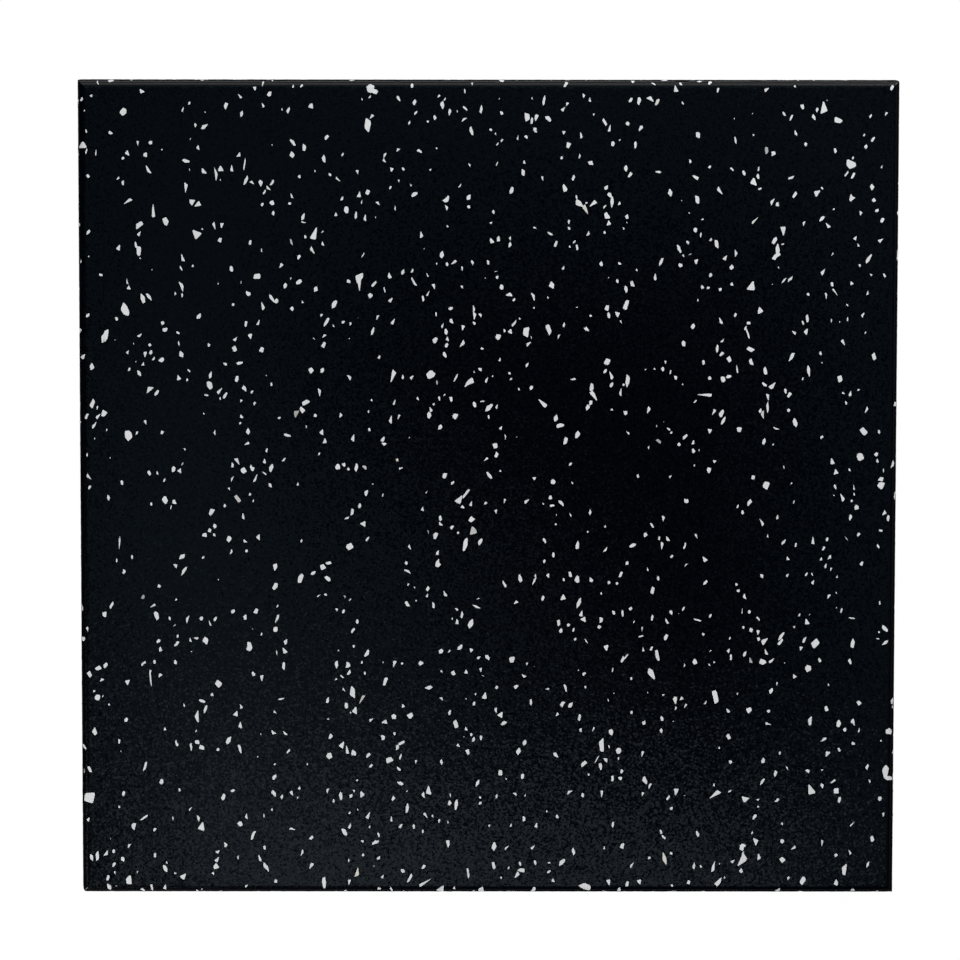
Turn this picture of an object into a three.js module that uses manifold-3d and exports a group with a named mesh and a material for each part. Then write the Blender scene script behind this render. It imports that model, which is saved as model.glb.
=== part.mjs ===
// Rubber gym floor tile: one square slab moulded from bonded rubber crumb.
// The upper edges are rounded over, the underside has a small bevel, and the
// side walls stand square so that tiles butt against each other.
//
// Millimetres. +X is to the right, +Y to the back and +Z up. The origin is at
// the middle of the underside, which lies on the floor.

import * as THREE from "three";
import { mergeVertices } from "three/addons/utils/BufferGeometryUtils.js";
import Module from "manifold-3d";

// Overall size of the slab
const tileLength = 500; // along X
const tileWidth = 500; // along Y
const tileThickness = 20;

// Edges seen in section
const shoulderRadius = 4.5; // rounding of the upper edges
const footBevel = 1; // 45 degree bevel round the underside

// Corners seen from above: the mould filled them unevenly
const frontLeftCornerRadius = 2.5;
const frontRightCornerRadius = 0.6;
const backRightCornerRadius = 1.5;
const backLeftCornerRadius = 0.8;

// How finely the curves are drawn
const shoulderSegments = 8;
const cornerSegments = 5;

// How far a section is drawn out past the slab, so that only its own sides cut
const overrun = 5;

// Distance under which two points of a mesh are one
const weldDistance = 1e-4;

const blackRubber = new THREE.MeshStandardMaterial({
  name: "black_rubber",
  color: new THREE.Color("#15181a"),
  roughness: 0.75,
  metalness: 0,
});

const wasm = await Module();
wasm.setup();

/** The slab's outline seen from above, with a radius of its own at each corner. */
function planOutline() {
  const right = tileLength / 2;
  const back = tileWidth / 2;
  const quarter = Math.PI / 2;
  const corners = [
    { sideX: 1, sideY: -1, radius: frontRightCornerRadius },
    { sideX: 1, sideY: 1, radius: backRightCornerRadius },
    { sideX: -1, sideY: 1, radius: backLeftCornerRadius },
    { sideX: -1, sideY: -1, radius: frontLeftCornerRadius },
  ];
  const outline = new THREE.Shape();
  corners.forEach(({ sideX, sideY, radius }, index) => {
    const centreX = sideX * (right - radius);
    const centreY = sideY * (back - radius);
    const startAngle = (index - 1) * quarter;
    outline.absarc(centreX, centreY, radius, startAngle, startAngle + quarter, false);
  });
  outline.closePath();
  return outline;
}

/** The slab's section across a span: bevelled foot, upright walls, rounded shoulders. */
function crossSection(span) {
  const side = span / 2;
  const shoulderX = side - shoulderRadius;
  const shoulderZ = tileThickness - shoulderRadius;
  const section = new THREE.Shape();
  section.moveTo(-side + footBevel, 0);
  section.lineTo(side - footBevel, 0);
  section.lineTo(side, footBevel);
  section.absarc(shoulderX, shoulderZ, shoulderRadius, 0, Math.PI / 2, false);
  section.absarc(-shoulderX, shoulderZ, shoulderRadius, Math.PI / 2, Math.PI, false);
  section.lineTo(-side, footBevel);
  section.closePath();
  return section;
}

/** A flat shape drawn out along its own +Z, with the curves in the given steps. */
function drawnOut(shape, depth, curveSegments) {
  return new THREE.ExtrudeGeometry(shape, { depth, curveSegments, steps: 1, bevelEnabled: false });
}

/** The outline as a block of the slab's full height. */
function outlineBlock() {
  return drawnOut(planOutline(), tileThickness, cornerSegments);
}

/** The section across the length, running from front to back. */
function lengthwiseBar() {
  const depth = tileWidth + 2 * overrun;
  const bar = drawnOut(crossSection(tileLength), depth, shoulderSegments);
  bar.rotateX(Math.PI / 2);
  bar.translate(0, depth / 2, 0);
  return bar;
}

/** The section across the width, running from left to right. */
function widthwiseBar() {
  const depth = tileLength + 2 * overrun;
  const bar = drawnOut(crossSection(tileWidth), depth, shoulderSegments);
  bar.rotateX(Math.PI / 2);
  bar.translate(0, depth / 2, 0);
  bar.rotateZ(Math.PI / 2);
  return bar;
}

/** A geometry as a solid that can be cut. */
function toSolid(geometry) {
  geometry.deleteAttribute("normal");
  geometry.deleteAttribute("uv");
  const merged = mergeVertices(geometry, weldDistance);
  const mesh = new wasm.Mesh({
    numProp: 3,
    vertProperties: new Float32Array(merged.attributes.position.array),
    triVerts: new Uint32Array(merged.index.array),
  });
  return new wasm.Manifold(mesh);
}

/** A cut solid as a geometry again, with its normals. */
function toGeometry(solid) {
  const mesh = solid.getMesh();
  const geometry = new THREE.BufferGeometry();
  geometry.setAttribute("position", new THREE.BufferAttribute(mesh.vertProperties, mesh.numProp));
  geometry.setIndex(new THREE.BufferAttribute(mesh.triVerts, 1));
  geometry.computeVertexNormals();
  return geometry;
}

/** The whole tile: the outline block, with its shoulders and foot cut by both sections. */
function rubberTile() {
  const solid = toSolid(outlineBlock())
    .intersect(toSolid(lengthwiseBar()))
    .intersect(toSolid(widthwiseBar()));
  const mesh = new THREE.Mesh(toGeometry(solid), blackRubber);
  mesh.name = "rubber_tile";
  return mesh;
}

const group = new THREE.Group();
group.add(rubberTile());

export default group;
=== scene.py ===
"""The looks of a rubber gym floor tile: a slab of bonded black rubber crumb with pale granules in it.

Metres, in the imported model's own frame: +X right, +Y back, +Z up, origin at the middle of the underside.
"""
import math
import random

import bpy
from mathutils import Matrix, Vector, noise


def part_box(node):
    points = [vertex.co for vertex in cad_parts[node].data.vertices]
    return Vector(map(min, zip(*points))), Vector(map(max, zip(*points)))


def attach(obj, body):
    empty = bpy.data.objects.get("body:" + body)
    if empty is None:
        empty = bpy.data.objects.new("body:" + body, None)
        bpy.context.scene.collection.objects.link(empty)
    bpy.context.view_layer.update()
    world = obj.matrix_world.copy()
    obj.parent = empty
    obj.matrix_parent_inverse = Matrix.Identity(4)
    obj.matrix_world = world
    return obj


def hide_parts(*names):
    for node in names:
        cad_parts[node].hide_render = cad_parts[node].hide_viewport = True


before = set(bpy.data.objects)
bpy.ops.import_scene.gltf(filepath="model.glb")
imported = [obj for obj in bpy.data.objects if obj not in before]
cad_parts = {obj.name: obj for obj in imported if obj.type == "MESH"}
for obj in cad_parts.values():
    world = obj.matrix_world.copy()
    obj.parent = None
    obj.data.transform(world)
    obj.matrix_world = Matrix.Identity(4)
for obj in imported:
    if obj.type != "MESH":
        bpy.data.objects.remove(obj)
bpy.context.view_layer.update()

# Units
MM = 0.001

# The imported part
TILE_NODE = "rubber_tile"
BODY = "root"

# The slab's size, from the frame
TILE_LOW, TILE_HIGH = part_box(TILE_NODE)
HALF_X = (TILE_HIGH[0] - TILE_LOW[0]) / 2
HALF_Y = (TILE_HIGH[1] - TILE_LOW[1]) / 2
TOP_Z = TILE_HIGH[2]

# The slab's edges
SHOULDER_RADIUS = 4.5 * MM
FOOT_BEVEL = 1.0 * MM
SMALLEST_CORNER = 0.25 * MM
CORNER_RADII = {
    "front_left": 2.5 * MM,
    "front_right": 0.6 * MM,
    "back_right": 1.5 * MM,
    "back_left": 0.8 * MM,
}

# How finely the slab's skin is drawn
EDGE_CELLS = 384
CORNER_CELLS = 4
TOP_CELLS = EDGE_CELLS // 2
UNDERSIDE_CELLS = EDGE_CELLS // 4
WALL_ROWS = 11
SHOULDER_ROWS = 8
BORDER_INSETS = (5.6 * MM, 7.0 * MM)
TOP_GRID_INSET = 9.5 * MM
UNDERSIDE_INSET = 3.0 * MM
UNDERSIDE_GRID_INSET = 7.0 * MM

# Relief of the black crumb, below the mould's own surface
SKIN_DEPTH = 0.10 * MM
SKIN_LEAST_DEPTH = 0.03 * MM
CRUMB_SIZE = 3.2 * MM
CRUMB_HEIGHT = 0.05 * MM
SWELL_SIZE = 9.0 * MM
SWELL_HEIGHT = 0.04 * MM
EDGE_CRUMB_HEIGHT = 0.16 * MM
EDGE_FADE = (0.3, 0.95)
PIT_SIZE = 5.0 * MM
PIT_DEPTH = 0.30 * MM
PIT_FADE = (0.34, 0.55)
PIT_SHIFT = Vector((31.0, 7.0, 19.0))

# Pale granules
GRANULE_SEED = 41
GRANULES_PER_M2 = 6100
GRANULE_LENGTH = 3.5 * MM
GRANULE_LENGTH_SPREAD = 0.38
GRANULE_WIDTH = 2.0 * MM
GRANULE_WIDTH_SPREAD = 0.36
GRANULE_LIKENESS = 0.5
GRANULE_LONGEST = 9.0 * MM
GRANULE_NARROWEST = 0.7 * MM
SPECK_SHARE = 0.14
SPECK_SCALES = (0.28, 0.60)
SLIVER_SHARE = 0.04
SLIVER_LONGER = 1.35
SLIVER_SLIMMER = 0.62
LEAST_ASPECT = 1.1
GRANULE_LEAN_DEG = 84.0
GRANULE_LEAN_SPREAD_DEG = 25.0
STRAY_SHARE = 0.12
GRANULE_CLEARANCE = 3.3 * MM
CLUMP_SIZE = 26.0 * MM
CLUMP_STRENGTH = 0.9
CLUMP_MIDDLE = 0.62
CLUMP_LEAST = 0.08
CLUMP_SLICE = 3.7
WALL_CLEARANCE = 0.3 * MM
UNDERSIDE_CLEARANCE = 0.02 * MM

# Shape of one granule
CHIP_CORNERS = (3, 4, 5, 6)
CHIP_CORNER_WEIGHTS = (26, 36, 24, 14)
CHIP_TURN = 0.28
CHIP_REACH = (0.72, 1.0)
NOTCHED_SHARE = 0.22
NOTCH_REACH = (0.15, 0.4)
CORNER_CUT = 0.14
CORNER_CUT_SCALES = (0.6, 1.4)
GRANULE_FLUSH = 0.04 * MM
GRANULE_ROOT = 0.60 * MM
GRANULE_ROOT_SHARE = 0.9
GRANULE_EDGE = 0.10 * MM
GRANULE_EDGE_DROP = 0.6 * GRANULE_EDGE
LEAST_FACE_SHARE = 0.6
CURVED_STEP = 0.8 * MM
CURVED_SHARES = (0.75, 0.5, 0.25)

# Brightness and yellowness: a range each for dirty and cream granules, a middle and a spread for the rest
DIRTY_SHARE = 0.010
DIRTY_LIGHT = (0.5, 0.85)
DIRTY_CREAM = (0.0, 0.3)
CREAM_SHARE = 0.008
CREAM_LIGHT = (0.85, 1.0)
CREAM_CREAM = (0.2, 0.5)
PLAIN_LIGHT = (0.985, 0.026)
PLAIN_CREAM = (0.02, 0.03)

# Colour and grain of the granules
GRANULE_GREY = (0.705, 0.710, 0.722)
GRANULE_YELLOW = (0.65, 0.59, 0.43)
GRANULE_NOISE_REACH = 0.2
GRANULE_SPECULAR = 0.25
STAIN_SIZE = 1.0 * MM
STAIN_RANGE = (0.95, 1.04)
GRANULE_GLOSS_SIZE = 1.5 * MM
GRANULE_GLOSS_RANGE = (0.62, 0.78)
GRANULE_GRAIN_SIZE = 0.7 * MM
GRANULE_GRAIN_HEIGHT = 0.08 * MM
GRANULE_GRAIN_STRENGTH = 0.4

# Colour and grain of the black rubber
RUBBER_DARK = (0.0001, 0.0003, 0.0010)
RUBBER_LIGHT = (0.0005, 0.0010, 0.0026)
RUBBER_TONE_SIZE = 2.0 * MM
RUBBER_TONE_REACH = 0.15
RUBBER_SPECULAR = 0.5
GLOSS_SIZE = 1.2 * MM
GLOSS_REACH = 0.1
GLOSS_RANGE = (0.13, 0.22)
GRAIN_SIZE = 1.7 * MM
GRAIN_HEIGHT = 0.10 * MM
FACET_SIZE = 1.1 * MM
FACET_LEAN = 0.15
SHOULDER_CALM = 0.1
SHOULDER_UPWARD = 0.75
SHOULDER_FADE = (0.235, 0.2485)

# The studio
FLOOR_HALF = 12.0
FLOOR_GAP = 0.05 * MM
FLOOR_TONE_SIZE = 0.6
FLOOR_TONES = ((0.032, 0.032, 0.032), (0.038, 0.038, 0.038))
FLOOR_ROUGHNESS = 0.9
FLOOR_GLOW = 0.98
SURROUND_GLOW = 0.985
FLOOR_LIGHT = 0.0
WORLD_LIGHT = 0.0
WHITE = (1.0, 1.0, 1.0)
DIM_COLOUR = (0.56, 0.88, 1.0)
SHEEN_COLOUR = (0.70, 0.87, 1.0)
PANEL_HEIGHT = 0.70
SHEEN_HEIGHT = 1.5

# The camera
SENSOR_WIDTH = 36.0
LENS = 188.22
CLIP_END = 100.0
CAMERA_PLACE = (-0.01355, 0.3069, 3.0763)
CAMERA_TURN_DEG = (-5.624, -0.154, 0.056)

def smooth_step(low, high, value):
    """0 below low, 1 above high, and a smooth rise between them."""
    share = min(max((value - low) / (high - low), 0.0), 1.0)
    return share * share * (3.0 - 2.0 * share)


def link_object(name, mesh):
    """A new object in the scene."""
    item = bpy.data.objects.new(name, mesh)
    bpy.context.scene.collection.objects.link(item)
    return item


def section_rows():
    """(inset, height, outward, upward) of each ring, from the underside up and over the shoulder."""
    slant = math.sqrt(0.5)
    rows = [
        (UNDERSIDE_INSET, 0.0, 0.0, -1.0),
        (FOOT_BEVEL, 0.0, slant, -slant),
    ]
    wall_top = TOP_Z - SHOULDER_RADIUS
    for step in range(WALL_ROWS):
        rows.append((0.0, FOOT_BEVEL + (wall_top - FOOT_BEVEL) * step / WALL_ROWS, 1.0, 0.0))
    for step in range(SHOULDER_ROWS + 1):
        angle = math.pi / 2 * step / SHOULDER_ROWS
        inset = SHOULDER_RADIUS * (1.0 - math.cos(angle))
        height = wall_top + SHOULDER_RADIUS * math.sin(angle)
        rows.append((inset, height, math.cos(angle), math.sin(angle)))
    for inset in BORDER_INSETS:
        rows.append((inset, TOP_Z, 0.0, 1.0))
    return rows


def ring(inset):
    """The outline drawn in by an inset, anticlockwise: (x, y, outward x, outward y) for each point.

    Each side gives EDGE_CELLS points and then CORNER_CELLS points round its end corner.
    """
    corners = (
        ("front_left", -1, -1),
        ("front_right", 1, -1),
        ("back_right", 1, 1),
        ("back_left", -1, 1),
    )
    centres = []
    for name, side_x, side_y in corners:
        radius = max(CORNER_RADII[name] - inset, SMALLEST_CORNER)
        centre = Vector((side_x * (HALF_X - inset - radius), side_y * (HALF_Y - inset - radius)))
        centres.append((centre, radius))
    points = []
    for side in range(4):
        out_angle = (side - 1) * math.pi / 2
        out = Vector((math.cos(out_angle), math.sin(out_angle)))
        start = centres[side][0] + out * centres[side][1]
        end_centre, end_radius = centres[(side + 1) % 4]
        end = end_centre + out * end_radius
        for step in range(EDGE_CELLS):
            place = start.lerp(end, step / EDGE_CELLS)
            points.append((place.x, place.y, out.x, out.y))
        for step in range(CORNER_CELLS):
            angle = out_angle + math.pi / 2 * step / CORNER_CELLS
            turned = Vector((math.cos(angle), math.sin(angle)))
            place = end_centre + turned * end_radius
            points.append((place.x, place.y, turned.x, turned.y))
    return points


def skin_drop(place, upward):
    """How far the black skin lies below the mould's surface: rougher and pitted off the flat faces."""
    edge = 1.0 - smooth_step(*EDGE_FADE, abs(upward))
    height = CRUMB_HEIGHT + (EDGE_CRUMB_HEIGHT - CRUMB_HEIGHT) * edge
    crumb = height * (0.5 - noise.noise(place / CRUMB_SIZE)) * 0.5
    swell = SWELL_HEIGHT * (0.5 - noise.noise(place / SWELL_SIZE)) * 0.5
    pit = PIT_DEPTH * smooth_step(*PIT_FADE, noise.noise(place / PIT_SIZE + PIT_SHIFT)) * edge
    return max(SKIN_DEPTH + crumb + swell + pit, SKIN_LEAST_DEPTH)


def skin_point(x, y, z, normal):
    """A point of the black skin, from the mould's surface there."""
    place = Vector((x, y, z))
    return place - normal * skin_drop(place, normal.z)


def flat_grid(cells, inset, height, upward):
    """Points of a square grid on the top or the underside, row by row from the front."""
    normal = Vector((0.0, 0.0, upward))
    half_x = HALF_X - inset
    half_y = HALF_Y - inset
    points = []
    for row in range(cells + 1):
        y = -half_y + 2 * half_y * row / cells
        for column in range(cells + 1):
            x = -half_x + 2 * half_x * column / cells
            points.append(skin_point(x, y, height, normal))
    return points


def grid_faces(first, cells):
    """Square faces of a grid whose points start at index first, facing up."""
    wide = cells + 1
    faces = []
    for row in range(cells):
        for column in range(cells):
            corner = first + row * wide + column
            faces.append((corner, corner + 1, corner + 1 + wide, corner + wide))
    return faces


def grid_border(first, cells):
    """Indices along the four sides of a grid, anticlockwise: one list of cells + 1 points for each side."""
    wide = cells + 1
    front = [first + i for i in range(wide)]
    right = [first + i * wide + cells for i in range(wide)]
    back = [first + cells * wide + cells - i for i in range(wide)]
    left = [first + (cells - i) * wide for i in range(wide)]
    return front, right, back, left


def seam_faces(ring_start, grid_start, cells):
    """Faces that join a fine ring to a coarser grid inside it, facing up."""
    per_side = EDGE_CELLS + CORNER_CELLS
    ring_length = 4 * per_side
    fine = EDGE_CELLS // cells
    faces = []
    for side, border in enumerate(grid_border(grid_start, cells)):
        base = side * per_side
        for cell in range(cells):
            outer = [ring_start + (base + cell * fine + i) % ring_length for i in range(fine + 1)]
            faces.append((*outer, border[cell + 1], border[cell]))
        for step in range(CORNER_CELLS):
            a = ring_start + (base + EDGE_CELLS + step) % ring_length
            b = ring_start + (base + EDGE_CELLS + step + 1) % ring_length
            faces.append((a, b, border[cells]))
    return faces


def tile_body():
    """The black slab as one closed skin with the crumb's own relief."""
    points = []
    faces = []
    rows = section_rows()
    ring_length = 4 * (EDGE_CELLS + CORNER_CELLS)
    for inset, height, outward, upward in rows:
        for x, y, out_x, out_y in ring(inset):
            normal = Vector((out_x * outward, out_y * outward, upward))
            points.append(skin_point(x, y, height, normal))
    for row in range(len(rows) - 1):
        below = row * ring_length
        above = below + ring_length
        for i in range(ring_length):
            j = (i + 1) % ring_length
            faces.append((below + i, below + j, above + j, above + i))
    top_ring = (len(rows) - 1) * ring_length
    top_grid = len(points)
    points.extend(flat_grid(TOP_CELLS, TOP_GRID_INSET, TOP_Z, 1.0))
    faces.extend(grid_faces(top_grid, TOP_CELLS))
    faces.extend(seam_faces(top_ring, top_grid, TOP_CELLS))
    under_grid = len(points)
    points.extend(flat_grid(UNDERSIDE_CELLS, UNDERSIDE_GRID_INSET, 0.0, -1.0))
    under_faces = grid_faces(under_grid, UNDERSIDE_CELLS) + seam_faces(0, under_grid, UNDERSIDE_CELLS)
    faces.extend(tuple(reversed(face)) for face in under_faces)
    mesh = bpy.data.meshes.new("tile_body")
    mesh.from_pydata(points, [], faces)
    mesh.shade_smooth()
    return link_object("tile_body", mesh)


def wrapped(x, y):
    """A point of the flat, unrolled top folded over the shoulders and down the walls: (place, normal)."""
    place = Vector((x, y, TOP_Z))
    normal = Vector((0.0, 0.0, 1.0))
    arc_length = SHOULDER_RADIUS * math.pi / 2
    for axis, half in ((0, HALF_X), (1, HALF_Y)):
        flat = half - SHOULDER_RADIUS
        past = abs(place[axis]) - flat
        if past <= 0.0:
            continue
        side = math.copysign(1.0, place[axis])
        angle = min(past, arc_length) / SHOULDER_RADIUS
        place[axis] = side * (flat + SHOULDER_RADIUS * math.sin(angle))
        place.z -= SHOULDER_RADIUS * (1.0 - math.cos(angle)) + max(past - arc_length, 0.0)
        normal = Vector((0.0, 0.0, math.cos(angle)))
        normal[axis] = side * math.sin(angle)
    return place, normal


def chip_outline(dice, length, width):
    """An angular outline of three to six corners, each cut off a little, as wide and long as given."""
    corners = dice.choices(CHIP_CORNERS, weights=CHIP_CORNER_WEIGHTS)[0]
    turn = dice.uniform(0.0, math.tau)
    notched = corners > 3 and dice.random() < NOTCHED_SHARE
    points = []
    for i in range(corners):
        angle = turn + math.tau * (i + dice.uniform(-CHIP_TURN, CHIP_TURN)) / corners
        reach = dice.uniform(*CHIP_REACH)
        if notched and i == 0:
            reach = dice.uniform(*NOTCH_REACH)
        points.append(Vector((math.cos(angle) * reach, math.sin(angle) * reach)))
    wide = max(p.x for p in points) - min(p.x for p in points)
    tall = max(p.y for p in points) - min(p.y for p in points)
    outline = [Vector((p.x * length / wide, p.y * width / tall)) for p in points]
    cut = []
    for i, point in enumerate(outline):
        share = CORNER_CUT * dice.uniform(*CORNER_CUT_SCALES)
        cut.append(point.lerp(outline[i - 1], share))
        cut.append(point.lerp(outline[(i + 1) % corners], share))
    return cut


def chip_size(dice):
    """Length and width of one granule: wide ones are mostly long too, and a few are specks or slivers."""
    shared = dice.gauss(0.0, 1.0)
    own = dice.gauss(0.0, 1.0)
    mixed = GRANULE_LIKENESS * shared + math.sqrt(1.0 - GRANULE_LIKENESS ** 2) * own
    width = max(GRANULE_WIDTH * math.exp(GRANULE_WIDTH_SPREAD * shared), GRANULE_NARROWEST)
    length = min(GRANULE_LENGTH * math.exp(GRANULE_LENGTH_SPREAD * mixed), GRANULE_LONGEST)
    roll = dice.random()
    if roll < SPECK_SHARE:
        scale = dice.uniform(*SPECK_SCALES)
        length *= scale
        width *= scale
    elif roll < SPECK_SHARE + SLIVER_SHARE:
        length *= SLIVER_LONGER
        width *= SLIVER_SLIMMER
    return max(length, LEAST_ASPECT * width), width


def chip_lean(dice):
    """Direction of one granule's long axis: most of them lie near the front to back direction."""
    if dice.random() < STRAY_SHARE:
        return dice.uniform(0.0, math.pi)
    return math.radians(dice.gauss(GRANULE_LEAN_DEG, GRANULE_LEAN_SPREAD_DEG))


def chip_tone(dice):
    """Brightness and yellowness of one granule."""
    roll = dice.random()
    if roll < DIRTY_SHARE:
        return dice.uniform(*DIRTY_LIGHT), dice.uniform(*DIRTY_CREAM)
    if roll < DIRTY_SHARE + CREAM_SHARE:
        return dice.uniform(*CREAM_LIGHT), dice.uniform(*CREAM_CREAM)
    return dice.gauss(*PLAIN_LIGHT), max(dice.gauss(*PLAIN_CREAM), 0.0)


def clump_share(x, y):
    """How likely a granule is kept at a place: the granules gather a little in clumps."""
    value = noise.noise(Vector((x / CLUMP_SIZE, y / CLUMP_SIZE, CLUMP_SLICE)))
    return min(max(CLUMP_MIDDLE + CLUMP_STRENGTH * value, CLUMP_LEAST), 1.0)


def scattered(dice, count, half_x, half_y, allowed):
    """Places for granules in a rectangle, clear of each other, by chance but for the clumps."""
    cell = GRANULE_CLEARANCE
    taken = {}
    places = []
    while len(places) < count:
        x = dice.uniform(-half_x, half_x)
        y = dice.uniform(-half_y, half_y)
        keep = dice.random()
        if not allowed(x, y) or keep > clump_share(x, y):
            continue
        column = math.floor(x / cell)
        row = math.floor(y / cell)
        near = [taken.get((column + i, row + j)) for i in (-1, 0, 1) for j in (-1, 0, 1)]
        if any(p and math.dist(p, (x, y)) < cell for p in near):
            continue
        taken[(column, row)] = (x, y)
        places.append((x, y))
    return places


def finer(outline, step):
    """An outline with its long sides divided into steps."""
    points = []
    for i, point in enumerate(outline):
        after = outline[(i + 1) % len(outline)]
        parts = max(math.ceil((after - point).length / step), 1)
        points.extend(point.lerp(after, part / parts) for part in range(parts))
    return points


def add_chip(store, outline, place_of, tone, curved):
    """Adds one closed granule: a root under the skin, a small edge and a face at the surface."""
    if curved:
        outline = finer(outline, CURVED_STEP)
    first = len(store["points"])
    count = len(outline)
    longest = max(point.length for point in outline)
    face_share = max(1.0 - GRANULE_EDGE / longest, LEAST_FACE_SHARE)
    levels = [(GRANULE_ROOT_SHARE, GRANULE_ROOT), (1.0, GRANULE_EDGE_DROP), (face_share, 0.0)]
    if curved:
        levels.extend((face_share * share, 0.0) for share in CURVED_SHARES)
    for share, depth in levels:
        for point in outline:
            place, normal = place_of(point * share)
            store["points"].append(place - normal * (depth + tone["sunk"]))
    top = first + (len(levels) - 1) * count
    for lower in range(first, top, count):
        upper = lower + count
        for i in range(count):
            j = (i + 1) % count
            store["faces"].append((lower + i, lower + j, upper + j, upper + i))
    store["faces"].append(tuple(top + i for i in range(count)))
    store["faces"].append(tuple(first + i for i in reversed(range(count))))
    face_count = (len(levels) - 1) * count + 2
    store["tones"].extend([(tone["light"], tone["cream"])] * face_count)


def granule_piece(name, store):
    """The granules of one store as one object, with each granule's tone on its faces."""
    mesh = bpy.data.meshes.new(name)
    mesh.from_pydata(store["points"], [], store["faces"])
    light = mesh.attributes.new("granule_light", "FLOAT", "FACE")
    cream = mesh.attributes.new("granule_cream", "FLOAT", "FACE")
    light.data.foreach_set("value", [tone[0] for tone in store["tones"]])
    cream.data.foreach_set("value", [tone[1] for tone in store["tones"]])
    return link_object(name, mesh)


def scatter_granules(name, seed, half_x, half_y, allowed, surface, flat):
    """Granules all over a face: each is drawn flat and laid on the surface by surface(x, y).

    Those that reach past the half width flat get finer faces, to follow the curve there.
    """
    dice = random.Random(seed)
    area = 4 * half_x * half_y
    store = {"points": [], "faces": [], "tones": []}
    count = round(GRANULES_PER_M2 * area)
    for x, y in scattered(dice, count, half_x, half_y, allowed):
        length, width = chip_size(dice)
        lean = chip_lean(dice)
        outline = chip_outline(dice, length, width)
        light, cream = chip_tone(dice)
        turned = [Matrix.Rotation(lean, 2) @ point for point in outline]
        tone = {"light": light, "cream": cream, "sunk": dice.uniform(0.0, GRANULE_FLUSH)}
        reach = max(point.length for point in turned)
        ends = ((x + reach, y), (x - reach, y), (x, y + reach), (x, y - reach))
        if not all(allowed(*end) for end in ends):
            continue
        curved = max(abs(x), abs(y)) + reach > flat
        add_chip(store, turned, lambda point, x=x, y=y: surface(x + point.x, y + point.y), tone, curved)
    return granule_piece(name, store)


def top_granules():
    """Granules of the top, the shoulders and the walls, scattered over the top as if unrolled."""
    # How far the unrolled shoulder and wall reach past the slab's half width
    drop = SHOULDER_RADIUS * (math.pi / 2 - 2.0) + TOP_Z - FOOT_BEVEL - WALL_CLEARANCE
    flat = min(HALF_X, HALF_Y) - SHOULDER_RADIUS

    def allowed(x, y):
        past_x = abs(x) - (HALF_X - SHOULDER_RADIUS)
        past_y = abs(y) - (HALF_Y - SHOULDER_RADIUS)
        if past_x > 0.0 and past_y > 0.0:
            return False
        return abs(x) < HALF_X + drop and abs(y) < HALF_Y + drop

    reach_x = HALF_X + drop
    reach_y = HALF_Y + drop
    return scatter_granules("pale_granules", GRANULE_SEED, reach_x, reach_y, allowed, wrapped, flat)


def underside_granules():
    """Granules of the flat underside."""
    half_x = HALF_X - FOOT_BEVEL
    half_y = HALF_Y - FOOT_BEVEL

    def allowed(x, y):
        return abs(x) < half_x and abs(y) < half_y

    def surface(x, y):
        return Vector((-x, y, UNDERSIDE_CLEARANCE)), Vector((0.0, 0.0, -1.0))

    flat = max(half_x, half_y)
    return scatter_granules("underside_granules", GRANULE_SEED + 1, half_x, half_y, allowed, surface, flat)


def new_material(name):
    """A node material with its shader, ready for colours and bump."""
    material = bpy.data.materials.new(name)
    material.use_nodes = True
    nodes = material.node_tree.nodes
    shader = nodes["Principled BSDF"]
    return material, nodes, material.node_tree.links, shader


def object_place(nodes):
    """The place of a surface point on the object, in metres."""
    return nodes.new("ShaderNodeTexCoord").outputs["Object"]


def noise_node(nodes, links, place, size, detail=2.0):
    """A noise texture with spots of about the given size."""
    texture = nodes.new("ShaderNodeTexNoise")
    texture.inputs["Scale"].default_value = 1.0 / size
    texture.inputs["Detail"].default_value = detail
    links.new(place, texture.inputs["Vector"])
    return texture.outputs["Fac"]


def cell_node(nodes, links, place, size):
    """A chance colour for each cell of about the given size."""
    texture = nodes.new("ShaderNodeTexVoronoi")
    texture.inputs["Scale"].default_value = 1.0 / size
    links.new(place, texture.inputs["Vector"])
    return texture.outputs["Color"]


def spread(nodes, links, value, from_low, from_high, to_low, to_high):
    """A value's range moved to another range."""
    node = nodes.new("ShaderNodeMapRange")
    node.inputs["From Min"].default_value = from_low
    node.inputs["From Max"].default_value = from_high
    node.inputs["To Min"].default_value = to_low
    node.inputs["To Max"].default_value = to_high
    links.new(value, node.inputs["Value"])
    return node.outputs["Result"]


def colour_between(nodes, links, share, low, high):
    """A colour between two, by a share from 0 to 1."""
    node = nodes.new("ShaderNodeMix")
    node.data_type = "RGBA"
    node.inputs["A"].default_value = (*low, 1.0)
    node.inputs["B"].default_value = (*high, 1.0)
    links.new(share, node.inputs["Factor"])
    return node.outputs["Result"]


def spots(nodes, links, place, size, reach, low, high, detail=2.0):
    """Values from low to high in soft spots: noise within reach of its middle, spread over that range."""
    texture = noise_node(nodes, links, place, size, detail)
    return spread(nodes, links, texture, 0.5 - reach, 0.5 + reach, low, high)


def value_math(nodes, links, operation, value, number=0.0):
    """A value changed by one operation, with a number where the operation takes one."""
    node = nodes.new("ShaderNodeMath")
    node.operation = operation
    node.inputs[1].default_value = number
    links.new(value, node.inputs[0])
    return node.outputs["Value"]


def vector_math(nodes, links, operation, *vectors):
    """One vector operation on linked or given vectors."""
    node = nodes.new("ShaderNodeVectorMath")
    node.operation = operation
    for socket, vector in zip(node.inputs, vectors):
        if isinstance(vector, tuple):
            socket.default_value = vector
        else:
            links.new(vector, socket)
    return node.outputs["Vector"]


def scaled_vector(nodes, links, vector, scale):
    """A vector times a linked value."""
    node = nodes.new("ShaderNodeVectorMath")
    node.operation = "SCALE"
    links.new(vector, node.inputs["Vector"])
    links.new(scale, node.inputs["Scale"])
    return node.outputs["Vector"]


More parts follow.
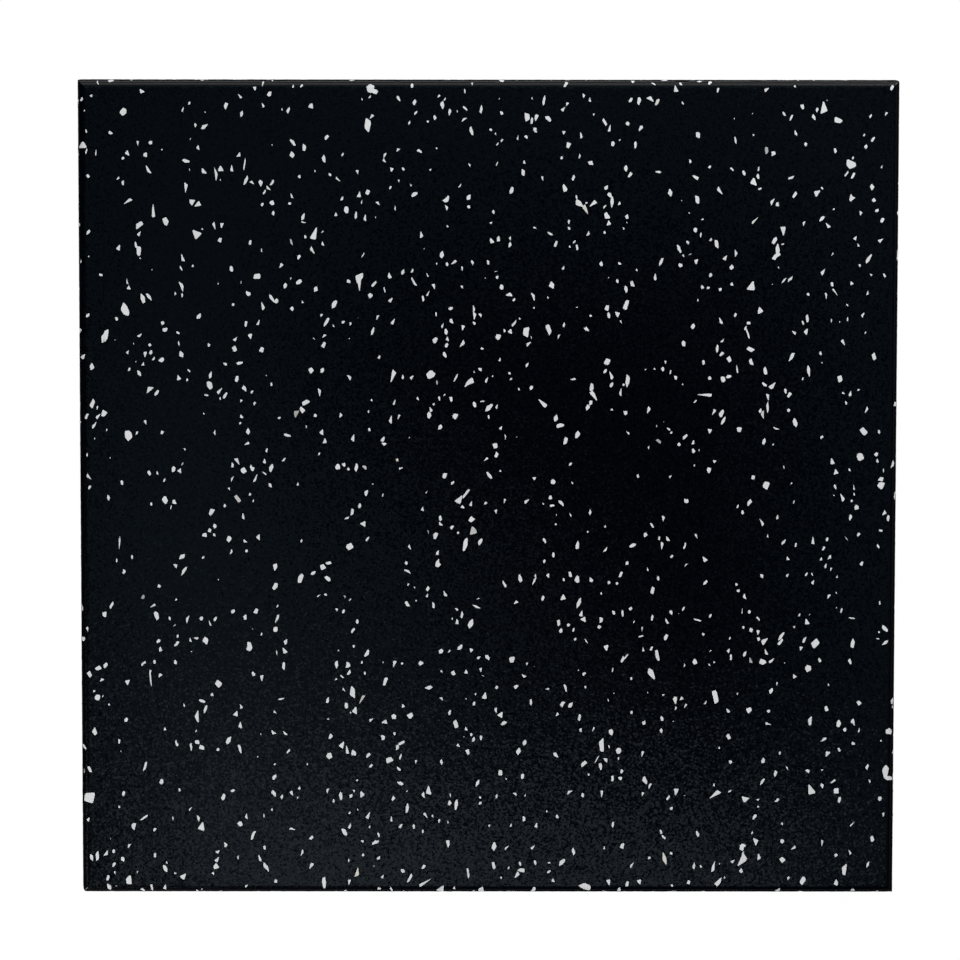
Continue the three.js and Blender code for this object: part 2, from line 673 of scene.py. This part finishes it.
def off_shoulder(nodes, links):
    """0 on the upper two thirds of the rounded shoulders, by how far the surface leans, and 1 elsewhere."""
    split = nodes.new("ShaderNodeSeparateXYZ")
    links.new(nodes.new("ShaderNodeNewGeometry").outputs["Normal"], split.inputs["Vector"])
    upward = value_math(nodes, links, "ABSOLUTE", split.outputs["Z"])
    past_middle = value_math(nodes, links, "SUBTRACT", upward, SHOULDER_UPWARD)
    from_middle = value_math(nodes, links, "ABSOLUTE", past_middle)
    return spread(nodes, links, from_middle, *SHOULDER_FADE, 0.0, 1.0)


def crumb_normal(nodes, links, place):
    """A fine grain with small facets that lean every way, pressed smoother on the shoulders."""
    flat = off_shoulder(nodes, links)
    grain = noise_node(nodes, links, place, GRAIN_SIZE, detail=1.0)
    bump = nodes.new("ShaderNodeBump")
    bump.inputs["Distance"].default_value = GRAIN_HEIGHT
    links.new(grain, bump.inputs["Height"])
    links.new(spread(nodes, links, flat, 0.0, 1.0, SHOULDER_CALM, 1.0), bump.inputs["Strength"])
    cells = cell_node(nodes, links, place, FACET_SIZE)
    way = vector_math(nodes, links, "SUBTRACT", cells, (0.5, 0.5, 0.5))
    amount = spread(nodes, links, flat, 0.0, 1.0, SHOULDER_CALM * FACET_LEAN, FACET_LEAN)
    lean = scaled_vector(nodes, links, way, amount)
    leaning = vector_math(nodes, links, "ADD", bump.outputs["Normal"], lean)
    return vector_math(nodes, links, "NORMALIZE", leaning)


def black_rubber_material():
    """Bonded black crumb: nearly black, faintly blue, with a fine grain that catches a soft sheen."""
    material, nodes, links, shader = new_material("black_rubber")
    place = object_place(nodes)
    tone = spots(nodes, links, place, RUBBER_TONE_SIZE, RUBBER_TONE_REACH, 0.0, 1.0, detail=3.0)
    links.new(colour_between(nodes, links, tone, RUBBER_DARK, RUBBER_LIGHT), shader.inputs["Base Color"])
    gloss = spots(nodes, links, place, GLOSS_SIZE, GLOSS_REACH, *GLOSS_RANGE)
    links.new(gloss, shader.inputs["Roughness"])
    shader.inputs["Specular IOR Level"].default_value = RUBBER_SPECULAR
    links.new(crumb_normal(nodes, links, place), shader.inputs["Normal"])
    return material


def grey_granule_material():
    """Pale grey rubber granules, each with its own tone, a few of them cream."""
    material, nodes, links, shader = new_material("grey_granules")
    place = object_place(nodes)
    cream = nodes.new("ShaderNodeAttribute")
    cream.attribute_name = "granule_cream"
    light = nodes.new("ShaderNodeAttribute")
    light.attribute_name = "granule_light"
    colour = colour_between(nodes, links, cream.outputs["Fac"], GRANULE_GREY, GRANULE_YELLOW)
    stain = spots(nodes, links, place, STAIN_SIZE, GRANULE_NOISE_REACH, *STAIN_RANGE)
    lit = scaled_vector(nodes, links, colour, light.outputs["Fac"])
    links.new(scaled_vector(nodes, links, lit, stain), shader.inputs["Base Color"])
    rough = spots(nodes, links, place, GRANULE_GLOSS_SIZE, GRANULE_NOISE_REACH, *GRANULE_GLOSS_RANGE)
    links.new(rough, shader.inputs["Roughness"])
    shader.inputs["Specular IOR Level"].default_value = GRANULE_SPECULAR
    grain = noise_node(nodes, links, place, GRANULE_GRAIN_SIZE)
    bump = nodes.new("ShaderNodeBump")
    bump.inputs["Distance"].default_value = GRANULE_GRAIN_HEIGHT
    bump.inputs["Strength"].default_value = GRANULE_GRAIN_STRENGTH
    links.new(grain, bump.inputs["Height"])
    links.new(bump.outputs["Normal"], shader.inputs["Normal"])
    return material


def camera_share(nodes, links, to_light, to_camera):
    """One value for what the camera sees of the studio itself, and another for what lights the tile."""
    path = nodes.new("ShaderNodeLightPath")
    return spread(nodes, links, path.outputs["Is Camera Ray"], 0.0, 1.0, to_light, to_camera)


def floor_material():
    """A plain floor: dark grey, with a glow that makes it white to the camera alone."""
    material, nodes, links, shader = new_material("pale_floor")
    place = object_place(nodes)
    tone = noise_node(nodes, links, place, FLOOR_TONE_SIZE)
    links.new(colour_between(nodes, links, tone, *FLOOR_TONES), shader.inputs["Base Color"])
    links.new(camera_share(nodes, links, FLOOR_LIGHT, FLOOR_GLOW), shader.inputs["Emission Strength"])
    shader.inputs["Emission Color"].default_value = (*WHITE, 1.0)
    shader.inputs["Roughness"].default_value = FLOOR_ROUGHNESS
    shader.inputs["Specular IOR Level"].default_value = 0.0
    return material


def add_floor():
    """The floor that the tile lies on."""
    half = FLOOR_HALF
    corners = [(x, y, -FLOOR_GAP) for x, y in ((-half, -half), (half, -half), (half, half), (-half, half))]
    mesh = bpy.data.meshes.new("floor")
    mesh.from_pydata(corners, [], [(0, 1, 2, 3)])
    floor = link_object("floor", mesh)
    floor.data.materials.append(floor_material())


def area_light(name, place, target, size, watts, colour=WHITE):
    """A soft box of a given width and height that faces a target."""
    data = bpy.data.lights.new(name, "AREA")
    data.shape = "RECTANGLE"
    data.size = size[0]
    data.size_y = size[1]
    data.energy = watts
    data.color = colour
    lamp = link_object(name, data)
    lamp.location = place
    lamp.rotation_euler = (Vector(target) - Vector(place)).to_track_quat("-Z", "Y").to_euler()
    lamp.visible_camera = False


def overhead_panel(name, x, y, size, watts, colour):
    """A dim panel that faces down from above the tile, for the tile to mirror."""
    area_light(name, (x, y, PANEL_HEIGHT), (x, y, 0.0), size, watts, colour)


def add_lights():
    """Two boxes that light the granules, strips that light the rims, and dim panels for the top."""
    middle = (0.0, 0.0, 0.0)
    # Name, place, target, width and height, watts
    area_light("front_left_box", (-1.2, -1.3, 0.90), middle, (1.2, 1.2), 36.5)
    area_light("back_right_box", (1.2, 1.3, 0.90), middle, (1.2, 1.2), 39.0)
    area_light("back_floor", (0.0, 0.42, 0.001), (0.0, 0.42, 1.0), (1.0, 0.28), 0.85)
    area_light("back_low", (0.0, 1.25, 0.39), middle, (1.8, 0.24), 1.2)
    area_light("back_middle", (0.0, 1.15, 0.66), middle, (1.8, 0.4), 1.5)
    area_light("back_high", (0.0, 1.05, 0.97), middle, (1.8, 0.5), 1.2)
    area_light("front_low", (0.0, -1.1, 0.10), middle, (1.6, 0.2), 0.2)
    area_light("right_low", (1.2, 0.0, 0.35), middle, (1.2, 0.5), 0.18)
    # Name, x, y, width and depth, watts, colour
    overhead_panel("left_back_panel", -0.232, 0.14, (0.24, 0.27), 0.0185, DIM_COLOUR)
    overhead_panel("left_front_panel", -0.232, -0.14, (0.24, 0.27), 0.028, DIM_COLOUR)
    overhead_panel("right_panel", 0.33, -0.07, (0.12, 0.75), 0.038, DIM_COLOUR)
    overhead_panel("far_right_panel", 0.55, -0.05, (0.15, 0.80), 0.038, DIM_COLOUR)
    overhead_panel("back_panel", -0.035, 0.20, (0.53, 0.14), 0.025, DIM_COLOUR)
    overhead_panel("far_back_panel", 0.0, 0.42, (0.70, 0.15), 0.085, DIM_COLOUR)
    overhead_panel("sheen_middle", -0.04, -0.17, (0.16, 0.10), 0.009, SHEEN_COLOUR)
    overhead_panel("sheen_left", -0.20, -0.20, (0.16, 0.25), 0.068, SHEEN_COLOUR)
    overhead_panel("sheen_front", 0.0, -0.407, (0.50, 0.14), 0.122, SHEEN_COLOUR)
    far = Vector((-0.20, -0.65, 0.0))
    area_light("sheen_far", far + Vector((0.0, 0.0, SHEEN_HEIGHT)), far, (0.4, 0.2), 0.031, SHEEN_COLOUR)


def add_world():
    """A surround that is white to the camera and dark to everything else."""
    world = bpy.data.worlds.new("studio")
    bpy.context.scene.world = world
    world.use_nodes = True
    nodes = world.node_tree.nodes
    links = world.node_tree.links
    background = nodes["Background"]
    background.inputs["Color"].default_value = (*WHITE, 1.0)
    links.new(camera_share(nodes, links, WORLD_LIGHT, SURROUND_GLOW), background.inputs["Strength"])


def add_camera():
    """A long lens three metres above the tile's back edge, looking nearly straight down."""
    data = bpy.data.cameras.new("camera")
    data.sensor_width = SENSOR_WIDTH
    data.lens = LENS
    data.clip_end = CLIP_END
    camera = link_object("camera", data)
    camera.location = CAMERA_PLACE
    camera.rotation_euler = [math.radians(turn) for turn in CAMERA_TURN_DEG]
    bpy.context.scene.camera = camera


def build():
    """The whole scene."""
    add_camera()
    black = black_rubber_material()
    grey = grey_granule_material()
    body = tile_body()
    body.data.materials.append(black)
    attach(body, BODY)
    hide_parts(TILE_NODE)
    for granules in (top_granules(), underside_granules()):
        granules.data.materials.append(grey)
        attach(granules, BODY)
    add_floor()
    add_lights()
    add_world()
    bpy.context.scene.view_settings.view_transform = "Standard"


build()
